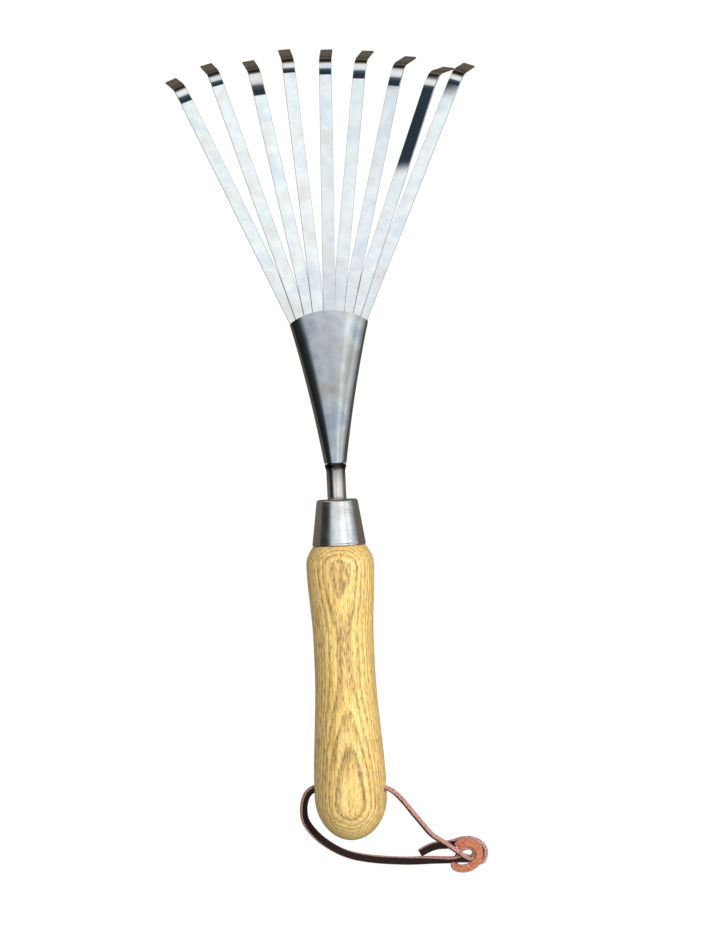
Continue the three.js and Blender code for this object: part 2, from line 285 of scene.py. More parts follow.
def tool_millimetres(tree: bpy.types.NodeTree, scale: tuple[float, float, float] = (1, 1, 1)):
    """Object coordinates in the tool's frame, in millimetres.

    Args:
        tree: The node tree they are for.
        scale: Stretch of each axis, so that a pattern can be drawn out along one.

    Returns:
        The output socket that gives them.
    """
    place = node(tree, "ShaderNodeTexCoord").outputs["Object"]
    turned = [k / MM for k in scale]
    moved = [-c * k for c, k in zip(ORIGIN, turned)]
    return node(
        tree,
        "ShaderNodeMapping",
        {"Vector": place, "Location": moved, "Scale": turned},
    ).outputs["Vector"]


# --- Finishes ------------------------------------------------------------------------------


@dataclass(frozen=True)
class VarnishedAsh:
    """Turned ash under satin varnish: honey wood with fine, porous rings.

    The rings are real cylinders about a pith below the handle, so they close in an oval on the
    handle's swell and in nested loops on its butt, as on a blank turned from a flat board.
    """

    ring_width: float = 1.26
    pith: tuple[float, float] = (0.4, -46.2)  # across and up from the axis
    pith_slope: float = 0.006  # how far the pith rises for each unit along the handle
    sway: float = 0.3  # how far the rings wander from true cylinders
    pale: str = "#d8b66c"
    body: str = "#b4904a"
    line: str = "#6a5028"
    pore: str = "#5b4627"

    def turns(self, tree: bpy.types.NodeTree) -> bpy.types.NodeSocket:
        """Counts rings out from the pith."""
        drawn_out = tool_millimetres(tree, (1, 0.07, 1))
        wander = node(
            tree, "ShaderNodeTexNoise", {"Vector": drawn_out, "Scale": 0.16, "Detail": 4.0}
        )
        centred = node(
            tree,
            "ShaderNodeVectorMath",
            {0: wander.outputs["Color"], 1: (0.5, 0.5, 0.5)},
            operation="SUBTRACT",
        )
        bent = node(
            tree,
            "ShaderNodeVectorMath",
            {
                0: centred.outputs[0],
                1: (self.sway * 4, 0, self.sway * 4),
                2: tool_millimetres(tree),
            },
            operation="MULTIPLY_ADD",
        )
        apart = node(tree, "ShaderNodeSeparateXYZ", {0: bent.outputs[0]})
        lifted = node(
            tree,
            "ShaderNodeMath",
            {0: apart.outputs["Y"], 1: -self.pith_slope, 2: apart.outputs["Z"]},
            operation="MULTIPLY_ADD",
        )
        flat = node(
            tree, "ShaderNodeCombineXYZ", {"X": apart.outputs["X"], "Z": lifted.outputs[0]}
        )
        off = node(
            tree,
            "ShaderNodeVectorMath",
            {0: flat.outputs[0], 1: (self.pith[0], 0, self.pith[1])},
            operation="SUBTRACT",
        )
        radius = node(tree, "ShaderNodeVectorMath", {0: off.outputs[0]}, operation="LENGTH")
        return node(
            tree,
            "ShaderNodeMath",
            {0: radius.outputs["Value"], 1: self.ring_width},
            operation="DIVIDE",
        ).outputs[0]

    def material(self) -> bpy.types.Material:
        """Builds the material."""
        made, tree, shader = new_material("ash_satin_varnish")
        turns = self.turns(tree)
        phase = node(tree, "ShaderNodeMath", {0: turns}, operation="FRACT")
        number = node(tree, "ShaderNodeMath", {0: turns, 1: 0.5}, operation="SUBTRACT")
        number = node(tree, "ShaderNodeMath", {0: number.outputs[0]}, operation="ROUND")
        chance = node(
            tree, "ShaderNodeTexWhiteNoise", {"W": number.outputs[0]}, noise_dimensions="1D"
        )
        weight = node(
            tree,
            "ShaderNodeMapRange",
            {0: chance.outputs["Value"], 1: 0.0, 2: 1.0, 3: 0.6, 4: 1.0},
        )
        zone = node(
            tree,
            "ShaderNodeValToRGB",
            {"Fac": phase.outputs[0]},
            stops=[
                (0.0, "#f0f0f0"),
                (0.14, "#ffffff"),
                (0.38, "#a8a8a8"),
                (0.62, "#505050"),
                (0.88, "#000000"),
                (1.0, "#f0f0f0"),
            ],
        )
        # Each ring's porous start breaks up into short dark dashes along the grain.
        dashes = node(
            tree,
            "ShaderNodeTexNoise",
            {"Vector": tool_millimetres(tree, (1, 0.09, 1)), "Scale": 3.0, "Detail": 3.0},
        )
        broken = node(
            tree,
            "ShaderNodeMapRange",
            {0: dashes.outputs["Fac"], 1: 0.36, 2: 0.62, 3: 0.25, 4: 1.15},
        )
        dark = zone.outputs["Color"]
        for share in (weight, broken):
            dark = node(
                tree, "ShaderNodeMath", {0: dark, 1: share.outputs[0]}, operation="MULTIPLY"
            ).outputs[0]
        fibres = node(
            tree,
            "ShaderNodeTexNoise",
            {"Vector": tool_millimetres(tree, (1, 0.03, 1)), "Scale": 1.1, "Detail": 5.0},
        )
        ground = node(
            tree,
            "ShaderNodeValToRGB",
            {"Fac": fibres.outputs["Fac"]},
            stops=[(0.3, self.body), (0.52, self.pale), (0.75, "#dcc183")],
        )
        ringed = node(
            tree,
            "ShaderNodeMix",
            {0: dark, 6: ground.outputs["Color"], 7: linear(self.line)},
            data_type="RGBA",
        )
        pores = node(
            tree,
            "ShaderNodeMapRange",
            {0: dashes.outputs["Fac"], 1: 0.54, 2: 0.68, 3: 0.0, 4: 0.7},
        )
        porous = node(
            tree,
            "ShaderNodeMix",
            {0: pores.outputs[0], 6: ringed.outputs[2], 7: linear(self.pore)},
            data_type="RGBA",
        )
        patches = node(
            tree,
            "ShaderNodeTexNoise",
            {"Vector": tool_millimetres(tree, (1, 0.3, 1)), "Scale": 0.06},
        )
        tone = node(
            tree,
            "ShaderNodeMapRange",
            {0: patches.outputs["Fac"], 1: 0.3, 2: 0.7, 3: 0.93, 4: 1.05},
        )
        toned = node(
            tree,
            "ShaderNodeHueSaturation",
            {"Color": porous.outputs[2], "Value": tone.outputs[0]},
        )
        bump = node(
            tree,
            "ShaderNodeBump",
            {"Height": dashes.outputs["Fac"], "Strength": 0.25, "Distance": 0.03 * MM},
        )
        tree.links.new(toned.outputs[0], shader.inputs["Base Color"])
        tree.links.new(bump.outputs[0], shader.inputs["Normal"])
        shader.inputs["Roughness"].default_value = 0.5
        shader.inputs["Coat Weight"].default_value = 0.6
        shader.inputs["Coat Roughness"].default_value = 0.2
        return made


class Band(Enum):
    """Where a steel piece is darkened, along the tool's axis: by heat tint at the weld, and at the hooks
    by heat tint and a painted reflection.
    """

    NONE = "none"
    WELD = "weld"
    HOOK = "hook"


@dataclass(frozen=True)
class PolishedSteel:
    """Stainless steel, polished: bright, with faint smudges and hairlines.

    Attributes:
        name: The material's name.
        colour: The metal's colour.
        roughness: Mean roughness, a little higher where it is smudged.
        lines: Stretch of the hairlines; the smallest number is the way they run.
        line_depth: Depth of the hairlines' bump.
        band: Where the metal is darkened: by heat tint, and at the hooks also by a painted reflection.
        tarnish: How strongly faint warm and cool patches show.
    """

    name: str
    colour: str = "#dfe3e6"
    roughness: float = 0.14
    lines: tuple[float, float, float] = (6, 0.15, 6)
    line_depth: float = 0.05
    band: Band = Band.NONE
    tarnish: float = 0.2

    def heat_tint_and_painted_reflection(self, tree: bpy.types.NodeTree) -> tuple[bpy.types.Node, list[tuple[float, str]]]:
        """The length that the heat tint, and at the hooks a painted reflection, is laid along, and its
        colours.

        Args:
            tree: The material's tree.

        Returns:
            A node whose first output runs from 0 to 1, and the colour stops.
        """
        if self.band is Band.HOOK:
            past = node(tree, "ShaderNodeAttribute", attribute_name="past_bend")
            share = node(
                tree,
                "ShaderNodeMapRange",
                {0: past.outputs["Fac"], 1: 0.0, 2: 28.0, 3: 0.0, 4: 1.0},
            )
            # Painted reflection: the dark stop where the bend meets the hook paints in the dark room
            # that the bend mirrors. The faint warm grey on the hook itself is heat tint.
            stops = [
                (0.0, self.colour),
                (0.12, self.colour),
                (0.2, "#a39a92"),
                (0.36, "#d9d4cd"),
                (1.0, "#e6e1da"),
            ]
            return share, stops
        place = node(tree, "ShaderNodeSeparateXYZ", {0: tool_millimetres(tree)})
        weld_at = 187.6
        share = node(
            tree,
            "ShaderNodeMapRange",
            {0: place.outputs["Y"], 1: weld_at - 10, 2: weld_at + 10, 3: 0.0, 4: 1.0},
        )
        stops = [
            (0.0, self.colour),
            (0.3, "#b9b7b2"),
            (0.38, "#5c5046"),
            (0.47, "#2e2622"),
            (0.53, "#6e6459"),
            (0.62, self.colour),
            (1.0, self.colour),
        ]
        return share, stops

    def material(self) -> bpy.types.Material:
        """Builds the material."""
        made, tree, shader = new_material(self.name)
        shader.inputs["Metallic"].default_value = 1.0
        smudge = node(
            tree,
            "ShaderNodeTexNoise",
            {"Vector": tool_millimetres(tree), "Scale": 0.16, "Detail": 6.0, "Roughness": 0.6},
        )
        rough = node(
            tree,
            "ShaderNodeMapRange",
            {
                0: smudge.outputs["Fac"],
                1: 0.35,
                2: 0.7,
                3: self.roughness * 0.8,
                4: self.roughness * 1.5,
            },
        )
        tree.links.new(rough.outputs[0], shader.inputs["Roughness"])
        haze = node(
            tree,
            "ShaderNodeMapRange",
            {0: smudge.outputs["Fac"], 1: 0.32, 2: 0.68, 3: 1.02, 4: 0.9},
        )
        if self.band is Band.NONE:
            base = node(tree, "ShaderNodeRGB").outputs[0]
            base.default_value = linear(self.colour)
        else:
            share, stops = self.heat_tint_and_painted_reflection(tree)
            ripple = node(
                tree,
                "ShaderNodeMath",
                {0: smudge.outputs["Fac"], 1: 0.04, 2: share.outputs[0]},
                operation="MULTIPLY_ADD",
            )
            base = node(
                tree, "ShaderNodeValToRGB", {"Fac": ripple.outputs[0]}, stops=stops
            ).outputs["Color"]
        patches = node(
            tree,
            "ShaderNodeTexNoise",
            {"Vector": tool_millimetres(tree), "Scale": 0.07, "Detail": 3.0},
        )
        warmth = node(
            tree,
            "ShaderNodeValToRGB",
            {"Fac": patches.outputs["Fac"]},
            stops=[(0.35, "#9fb0cc"), (0.5, "#ffffff"), (0.66, "#c9a987")],
        )
        patched = node(
            tree,
            "ShaderNodeMix",
            {0: self.tarnish, 6: base, 7: warmth.outputs["Color"]},
            data_type="RGBA",
            blend_type="MULTIPLY",
        )
        toned = node(
            tree,
            "ShaderNodeHueSaturation",
            {"Color": patched.outputs[2], "Value": haze.outputs[0]},
        )
        tree.links.new(toned.outputs[0], shader.inputs["Base Color"])
        hairlines = node(
            tree,
            "ShaderNodeTexNoise",
            {"Vector": tool_millimetres(tree, self.lines), "Scale": 1.0, "Detail": 2.0},
        )
        bump = node(
            tree,
            "ShaderNodeBump",
            {
                "Height": hairlines.outputs["Fac"],
                "Strength": self.line_depth,
                "Distance": 0.01 * MM,
            },
        )
        tree.links.new(bump.outputs[0], shader.inputs["Normal"])
        return made


@dataclass(frozen=True)
class CutLeather:
    """Cut leather strap: a dark waxed grain side, pink-tan cut edges, an orange flesh side."""

    grain: str = "#180a07"
    edge: str = "#9d736b"
    flesh: str = "#a9684c"

    def material(self) -> bpy.types.Material:
        """Builds the material."""
        made, tree, shader = new_material("leather_strap_cut")
        side = node(tree, "ShaderNodeAttribute", attribute_name="leather_side")
        sides = node(
            tree,
            "ShaderNodeValToRGB",
            {"Fac": side.outputs["Fac"]},
            stops=[(0.0, self.grain), (0.3, self.edge), (0.7, self.flesh)],
        )
        sides.color_ramp.interpolation = "CONSTANT"
        place = tool_millimetres(tree)
        fibres = node(
            tree, "ShaderNodeTexNoise", {"Vector": place, "Scale": 1.3, "Detail": 6.0}
        )
        light = node(
            tree,
            "ShaderNodeMapRange",
            {0: fibres.outputs["Fac"], 1: 0.32, 2: 0.68, 3: 0.5, 4: 1.4},
        )
        toned = node(
            tree,
            "ShaderNodeHueSaturation",
            {"Color": sides.outputs["Color"], "Value": light.outputs[0]},
        )
        creases = node(
            tree,
            "ShaderNodeTexVoronoi",
            {"Vector": place, "Scale": 2.2},
            feature="DISTANCE_TO_EDGE",
        )
        bump = node(
            tree,
            "ShaderNodeBump",
            {"Height": creases.outputs["Distance"], "Strength": 0.25, "Distance": 0.1 * MM},
        )
        rough = node(
            tree,
            "ShaderNodeMapRange",
            {0: side.outputs["Fac"], 1: 0.0, 2: 0.4, 3: 0.5, 4: 0.85},
        )
        tree.links.new(rough.outputs[0], shader.inputs["Roughness"])
        tree.links.new(toned.outputs[0], shader.inputs["Base Color"])
        tree.links.new(bump.outputs[0], shader.inputs["Normal"])
        shader.inputs["Specular IOR Level"].default_value = 0.25
        return made


# --- Studio --------------------------------------------------------------------------------


@dataclass
class Studio:
    """Camera over the tool, a pale floor, and soft light with a lit window for the metal."""

    height: float = 600.0  # camera over the tool's axis
    below: tuple[float, float] = (7.8, 176.3)  # point of the tool's frame under the camera
    lean_deg: float = 2.66
    sensor: float = 36.0
    lens: float = 45.43
    shift: tuple[float, float] = (0.0047, 0.01)  # right and up, in shares of the long side
    floor_half: float = 1500.0
    # What polished metal mirrors, by degrees away from straight up: to the tool's sides, and
    # past its hooks. Overhead is a broad window; the near room is dark on the left.
    side_span: float = 100.0
    sides: tuple[tuple[float, str], ...] = (
        (-100, "#4a463e"),
        (-88, "#2c2a27"),
        (-66, "#222628"),
        (-46, "#31373a"),
        (-39, "#656c6f"),
        (-31, "#c2c8cc"),
        (-10, "#d0d6da"),
        (0, "#c9cfd2"),
        (17, "#dce2e3"),
        (24, "#fafffd"),
        (32, "#e0e8e8"),
        (41, "#c9cfd1"),
        (52, "#e8ecec"),
        (68, "#b2bcc2"),
        (84, "#959c9e"),
        (100, "#6b6a66"),
    )
    window_edge: float = 26.1  # where the window ends, past the hooks
    window_skew: float = 0.125  # how far that edge is turned against the tool
    far_skew: float = 0.2  # how far the room beyond it is turned
    far_from: float = 20.0  # the stretch that far_side describes
    far_to: float = 110.0
    far_side: tuple[tuple[float, str], ...] = (
        (20, "#2a3542"),
        (33, "#2f3a46"),
        (39, "#56616b"),
        (42, "#dfe5e8"),
        (47, "#f6fafb"),
        (53, "#ecedec"),
        (58, "#a19d99"),
        (64, "#4c4541"),
        (74, "#281f19"),
        (88, "#2a221b"),
        (98, "#4a4036"),
        (110, "#5a5045"),
    )

    def camera(self) -> None:
        """Makes the camera, which looks straight down."""
        data = bpy.data.cameras.new("camera")
        data.sensor_width = self.sensor
        data.lens = self.lens
        data.shift_x, data.shift_y = self.shift
        made = bpy.data.objects.new("camera", data)
        bpy.context.scene.collection.objects.link(made)
        made.location = ORIGIN + Vector((*self.below, self.height)) * MM
        made.rotation_euler = (0, 0, -math.radians(self.lean_deg))
        bpy.context.scene.camera = made

    def floor(self) -> None:
        """Makes the pale floor; it looks darker and warmer in reflections, like a bench."""
        deselect()
        bpy.ops.mesh.primitive_plane_add(size=2 * self.floor_half * MM, location=(0, 0, -0.2 * MM))
        floor = named("floor")
        made, tree, shader = new_material("pale_floor")
        output = tree.nodes["Material Output"]
        shader.inputs["Base Color"].default_value = linear("#383838")
        shader.inputs["Roughness"].default_value = 0.9
        shader.inputs["Specular IOR Level"].default_value = 0.1
        shader.inputs["Emission Color"].default_value = linear("#ffffff")
        shader.inputs["Emission Strength"].default_value = 0.98
        bench = node(tree, "ShaderNodeEmission", {"Color": linear("#6d655b"), "Strength": 1.0})
        path = node(tree, "ShaderNodeLightPath")
        seen = node(
            tree,
            "ShaderNodeMixShader",
            {0: path.outputs["Is Glossy Ray"], 1: shader.outputs[0], 2: bench.outputs[0]},
        )
        tree.links.new(seen.outputs[0], output.inputs["Surface"])
        dress(floor, made)

    @staticmethod
    def directions(
        tree: bpy.types.NodeTree,
    ) -> tuple[bpy.types.NodeSocket, bpy.types.NodeSocket]:
        """Degrees that a ray leans from straight up, to the side and towards the hooks.

        Args:
            tree: The world's tree.

        Returns:
            The two outputs, with a little unevenness so that no edge is ruler-straight.
        """
        ray = node(tree, "ShaderNodeTexCoord").outputs["Generated"]
        axes = node(tree, "ShaderNodeSeparateXYZ", {0: ray})
        level = node(tree, "ShaderNodeVectorMath", {0: ray, 1: (1, 1, 0)}, operation="MULTIPLY")
        length = node(tree, "ShaderNodeVectorMath", {0: level.outputs[0]}, operation="LENGTH")
        safe = node(
            tree, "ShaderNodeMath", {0: length.outputs["Value"], 1: 1e-4}, operation="MAXIMUM"
        )
        lean = node(tree, "ShaderNodeMath", {0: axes.outputs["Z"]}, operation="ARCCOSINE")
        degrees = node(tree, "ShaderNodeMath", {0: lean.outputs[0]}, operation="DEGREES")
        share = node(
            tree, "ShaderNodeMath", {0: degrees.outputs[0], 1: safe.outputs[0]}, operation="DIVIDE"
        )
        uneven = node(tree, "ShaderNodeTexNoise", {"Vector": ray, "Scale": 3.0, "Detail": 1.0})
        shift = node(
            tree,
            "ShaderNodeMapRange",
            {0: uneven.outputs["Fac"], 1: 0.3, 2: 0.7, 3: -1.0, 4: 1.0},
        )
        made = []
        for axis in ("X", "Y"):
            made.append(
                node(
                    tree,
                    "ShaderNodeMath",
                    {0: axes.outputs[axis], 1: share.outputs[0], 2: shift.outputs[0]},
                    operation="MULTIPLY_ADD",
                ).outputs[0]
            )
        return made[0], made[1]

    def world(self) -> None:
        """Lights from all round, and shows polished metal a lit window in a darker room."""
        world = bpy.data.worlds.new("studio")
        bpy.context.scene.world = world
        world.use_nodes = True
        tree = world.node_tree
        tree.nodes.clear()
        sideways, forward = self.directions(tree)
        ahead, beyond = (
            node(
                tree, "ShaderNodeMath", {0: sideways, 1: skew, 2: forward}, operation="MULTIPLY_ADD"
            ).outputs[0]
            for skew in (self.window_skew, self.far_skew)
        )
        across = node(
            tree,
            "ShaderNodeMapRange",
            {0: sideways, 1: -self.side_span, 2: self.side_span, 3: 0.0, 4: 1.0},
        )
        room = node(
            tree,
            "ShaderNodeValToRGB",
            {"Fac": across.outputs[0]},
            stops=[(0.5 + deg / self.side_span / 2, code) for deg, code in self.sides],
        )
        lift = node(tree, "ShaderNodeMapRange", {0: ahead, 1: 4.0, 2: 17.0, 3: 1.0, 4: 1.5})
        lifted = node(
            tree,
            "ShaderNodeHueSaturation",
            {"Color": room.outputs["Color"], "Value": lift.outputs[0]},
        )
        onward = node(
            tree,
            "ShaderNodeMapRange",
            {0: beyond, 1: self.far_from, 2: self.far_to, 3: 0.0, 4: 1.0},
        )
        span = self.far_to - self.far_from
        far = node(
            tree,
            "ShaderNodeValToRGB",
            {"Fac": onward.outputs[0]},
            stops=[((deg - self.far_from) / span, code) for deg, code in self.far_side],
        )
        past = node(
            tree,
            "ShaderNodeMapRange",
            {0: ahead, 1: self.window_edge - 0.5, 2: self.window_edge + 0.5, 3: 0.0, 4: 1.0},
        )
        lit = node(
            tree,
            "ShaderNodeMix",
            {0: past.outputs[0], 6: lifted.outputs[0], 7: far.outputs["Color"]},
            data_type="RGBA",
        )
        room = node(tree, "ShaderNodeBackground", {"Color": lit.outputs[2], "Strength": 1.22})
        soft = node(tree, "ShaderNodeBackground", {"Color": linear("#f6f7f9"), "Strength": 0.58})
        path = node(tree, "ShaderNodeLightPath")
        both = node(
            tree,
            "ShaderNodeMixShader",
            {0: path.outputs["Is Glossy Ray"], 1: soft.outputs[0], 2: room.outputs[0]},
        )
        node(tree, "ShaderNodeOutputWorld", {"Surface": both.outputs[0]})

    def lamps(self) -> None:
        """Hangs two large soft lamps, which light the wood and leave the metal to the window."""
        for name, place, size, power in (
            ("key_lamp", (400, 60, 720), 500, 9.5),
            ("fill_lamp", (-350, 250, 900), 700, 2.0),
        ):
            data = bpy.data.lights.new(name, "AREA")
            data.size = size * MM
            data.energy = power
            made = bpy.data.objects.new(name, data)
            bpy.context.scene.collection.objects.link(made)
            made.location = Vector(place) * MM
            made.rotation_euler = (-made.location).to_track_quat("-Z", "Y").to_euler()
            made.visible_glossy = False

    def build(self) -> None:
        """Makes the whole studio."""
        self.camera()
        self.floor()
        self.world()
        self.lamps()
        bpy.context.scene.view_settings.view_transform = "Standard"


# --- Lanyard -------------------------------------------------------------------------------


@dataclass(frozen=True)
class Strand:
    """One half of the thong, from the middle of the cross-hole to its end.

    Attributes:
        name: The piece's name.
        route: Across, along, height over the surface, and the lean of the strap's grain side
            away from straight up, in degrees.
        length: Its real length, hole to end; not used.
        far_end: How it ends; not used.
        stands_for: The CAD nodes that it takes the place of.
    """

    name: str
    route: list[tuple[float, float, float, float]]
    length: float
    far_end: str
    stands_for: tuple[str, ...]


@dataclass
class Lanyard:
    """A flat leather thong through the cross-hole, its two halves tied in one knot."""

    width: float = 3.9
    thickness: float = 2.0
    corner: float = 0.3
    clear: float = 0.05  # kept over the surface that it lies on
    steps: int = 7  # rings between two points of a route
    hole: tuple[float, float, float] = (0, 25.4, 18.1)
    strands: list[Strand] = field(
        default_factory=lambda: [
            Strand(
                "thong_long_side",
                [
                    (0, 25.4, 18.1, -20),
                    (-12, 25.4, 16.4, -25),
                    (-18.6, 24.6, 15.5, -30),
                    (-22.6, 20.4, 13.2, -38),
                    (-24.4, 12, 8.4, -42),
                    (-23, 4, 4.6, -38),
                    (-16, -5, 2.4, -25),
                    (-5, -12.2, 1.7, -14),
                    (8.1, -15.9, 1.3, -4),
                    (25.5, -17.8, 1.3, -4),
                    (39.3, -17.9, 1.7, 18),
                    (46, -17.9, 2.6, 30),
                    (50.6, -17.6, 3.8, 36),
                    (55, -17.0, 4.7, 20),
                    (59.2, -17.6, 3.7, -20),
                    (62.6, -19.4, 2.3, -55),
                    (65.9, -18.9, 2.1, -80),
                    (67.3, -15.6, 2.2, -80),
                    (66.9, -12.0, 2.2, -80),
                    (64.3, -9.2, 2.1, -80),
                    (60.4, -7.9, 1.9, -60),
                    (56.0, -8.4, 1.6, -30),
                    (52.2, -9.8, 1.4, -10),
                    (48.0, -10.6, 1.2, 0),
                    (42.9, -10.8, 1.2, 0),
                    (38.1, -12.2, 1.2, 0),
                    (33.9, -14.3, 1.2, 0),
                ],
                0.186,
                "bare",
                ("lanyard_thong", "lanyard_tail"),
            ),
            Strand(
                "thong_short_side",
                [
                    (0, 25.4, 18.1, 60),
                    (12, 25.4, 19.8, 66),
                    (18.4, 24.6, 20.6, 70),
                    (24, 20, 19.4, 70),
                    (32.7, 7.7, 14.6, 68),
                    (39.7, -2.1, 10.6, 66),
                    (45.2, -6.6, 8.6, 66),
                    (50.2, -10.6, 7.4, 68),
                    (54.4, -13.9, 6.4, 72),
                    (57.6, -16.4, 4.2, 82),
                    (60.0, -17.4, 2.9, 88),
                    (61.6, -15.6, 2.4, 92),
                    (61.0, -13.0, 2.3, 92),
                    (58.2, -11.9, 2.3, 92),
                    (55.2, -12.9, 2.2, 92),
                    (53.2, -15.6, 2.2, 95),
                    (51.4, -18.6, 2.2, 110),
                    (51.2, -21.0, 2.6, 135),
                    (53.6, -22.3, 3.4, 160),
                    (57.3, -22.1, 4.3, 172),
                    (61.2, -20.2, 4.7, 176),
                    (63.6, -17.0, 4.8, 178),
                    (64.0, -13.6, 4.8, 178),
                    (62.2, -10.6, 4.8, 178),
                    (58.8, -9.0, 4.7, 178),
                    (55.4, -9.2, 4.3, 178),
                    (52.8, -10.9, 3.6, 178),
                ],
                0.135,
                "knot",
                ("lanyard_knot",),
            ),
        ]
    )

    @staticmethod
    def spline(points: list[Vector], steps: int) -> list[Vector]:
        """Points along a smooth curve through the given ones.

        Args:
            points: The points it passes through, of any length.
            steps: Points made from each given one to the next.

        Returns:
            The points, with both ends.
        """
        ends = [points[0] * 2 - points[1], *points, points[-1] * 2 - points[-2]]
        made = []
        for a, b, c, d in zip(ends, ends[1:], ends[2:], ends[3:]):
            for i in range(steps):
                t = i / steps
                made.append(
                    (
                        b * 2
                        + (c - a) * t
                        + (a * 2 - b * 5 + c * 4 - d) * t * t
                        + (b * 3 - a - c * 3 + d) * t**3
                    )
                    / 2
                )
        return [*made, points[-1].copy()]

    def section(self) -> list[tuple[float, float, float]]:
        """The strap's section: across, up, and the side a face after each point lies on."""
        w, h, r = self.width / 2, self.thickness / 2, self.corner
        grain, edge, flesh = 0.0, 0.5, 1.0
        return [
            (-w + r, h, grain),
            (w - r, h, edge),
            (w, h - r, edge),
            (w, -h + r, edge),
            (w - r, -h, flesh),
            (-w + r, -h, edge),
            (-w, -h + r, edge),
            (-w, h - r, edge),
        ]

    def strap(self, strand: Strand, leather: bpy.types.Material) -> bpy.types.Object:
        """Sweeps the strap's section along a strand's route.

        Args:
            strand: The half of the thong.
            leather: Its material.

        Returns:
            The piece, attached to the tool's body.
        """
        line = self.spline(
            [Vector((x, y, z + SURFACE, lean)) for x, y, z, lean in strand.route], self.steps
        )
        path = [Vector(p[:3]) for p in line]
        half_width, half_depth = self.width / 2, self.thickness / 2
        for point, full in zip(path, line):
            lean = math.radians(full[3])
            reach = half_width * abs(math.sin(lean)) + half_depth * abs(math.cos(lean))
            point.z = max(point.z, SURFACE + reach + self.clear)
        work = bmesh.new()
        side = work.faces.layers.float.new("leather_side")
        section = self.section()
        rings = []
        for i, (here, full) in enumerate(zip(path, line)):
            ahead = (path[min(i + 1, len(path) - 1)] - path[max(i - 1, 0)]).normalized()
            up = Vector((0, 0, 1))
            up = (up - ahead * up.dot(ahead)).normalized()
            up = Quaternion(ahead, math.radians(full[3])) @ up
            across = ahead.cross(up)
            ring = [work.verts.new((here + across * x + up * z) * MM) for x, z, _ in section]
            rings.append(ring)
        count = len(section)
        for last, ring in pairwise(rings):
            for i, (_, _, kind) in enumerate(section):
                j = (i + 1) % count
                face = work.faces.new((last[i], last[j], ring[j], ring[i]))
                face[side] = kind
        for ring in (rings[0], rings[-1]):
            work.faces.new(ring)[side] = 0.5
        bmesh.ops.recalc_face_normals(work, faces=work.faces)
        mesh = bpy.data.meshes.new(strand.name)
        work.to_mesh(mesh)
        work.free()
        piece = bpy.data.objects.new(strand.name, mesh)
        bpy.context.scene.collection.objects.link(piece)
        settle(piece)
        shade(piece, 40)
        dress(piece, leather)
        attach(piece, ROOT_BODY)
        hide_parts(*strand.stands_for)
        return piece

    def build(self) -> None:
        """Makes both halves of the thong."""
        leather = CutLeather().material()
        for strand in self.strands:
            self.strap(strand, leather)
            log.info("%s: %d route points", strand.name, len(strand.route))


# --- Handle and ferrule --------------------------------------------------------------------


@dataclass
class Grip:
    """The turned handle, with the cross-hole through its butt."""

    length: float = 146.5
    butt: float = 18.1
    butt_flat: float = 3.6
    dome: float = 22.0
    waist: float = 15.1
    waist_span: tuple[float, float] = (86.0, 100.0)
    bulge: float = 16.9
    bulge_span: tuple[float, float] = (136.0, 137.5)
    shoulder: float = 13.1  # where it runs under the ferrule
    tenon: float = 9.0
    tenon_end: float = 168.0
    hole_at: float = 25.4
    hole_radius: float = 3.2
    hole_chamfer: float = 2.4
    hole_tilt_deg: float = 8.0

    def radius(self, along: float) -> float:
        """The handle's radius beyond the dome, at a distance from the butt."""
        if along < self.waist_span[0]:
            t = (along - self.dome) / (self.waist_span[0] - self.dome)
            return mix(self.butt, self.waist, smooth(t))
        if along < self.waist_span[1]:
            return self.waist
        if along < self.bulge_span[0]:
            t = (along - self.waist_span[1]) / (self.bulge_span[0] - self.waist_span[1])
            return mix(self.waist, self.bulge, smooth(t))
        if along < self.bulge_span[1]:
            return self.bulge
        t = (along - self.bulge_span[1]) / (self.length - self.bulge_span[1])
        return mix(self.shoulder, self.bulge, math.cos(t * math.pi / 2))

    def rings(self) -> list[Ring]:
        """The handle's outline, butt to tenon."""
        start = math.acos(self.butt_flat / self.butt)
        drop = self.dome * (1 - math.sin(start))
        made = []
        dome_steps, grip_steps = 26, 110
        for i in range(dome_steps + 1):
            angle = mix(start, 0, i / dome_steps)
            along = self.dome - (self.dome - drop) * math.sin(angle) / math.sin(start)
            made.append(Ring(max(along - drop, 0), self.butt * math.cos(angle)))
        for i in range(1, grip_steps + 1):
            along = mix(self.dome, self.length, i / grip_steps)
            made.append(Ring(along, self.radius(along)))
        made.append(Ring(self.length + 0.01, self.shoulder - 1.4))
        made.append(Ring(self.tenon_end, self.tenon))
        return made

    def build(self) -> None:
        """Turns the handle, drills it and varnishes it."""
        handle = loft("handle_wood", self.rings(), 128)
        reach = self.butt + self.hole_chamfer
        mouth = self.butt - self.hole_chamfer
        flare = self.hole_radius + reach - mouth
        drill = loft(
            "drill",
            [
                Ring(-reach, flare),
                Ring(-mouth, self.hole_radius),
                Ring(mouth, self.hole_radius),
                Ring(reach, flare),
            ],
            48,
        )
        drill.data.transform(
            Matrix.Translation((0, self.hole_at * MM, 0))
            @ Matrix.Rotation(-math.radians(self.hole_tilt_deg), 4, "Y")
            @ Matrix.Rotation(-math.pi / 2, 4, "Z")
        )
        cut(handle, drill)
        settle(handle)
        shade(handle)
        dress(handle, VarnishedAsh().material())
        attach(handle, ROOT_BODY)
        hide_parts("handle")
        log.info("%s", handle.name)


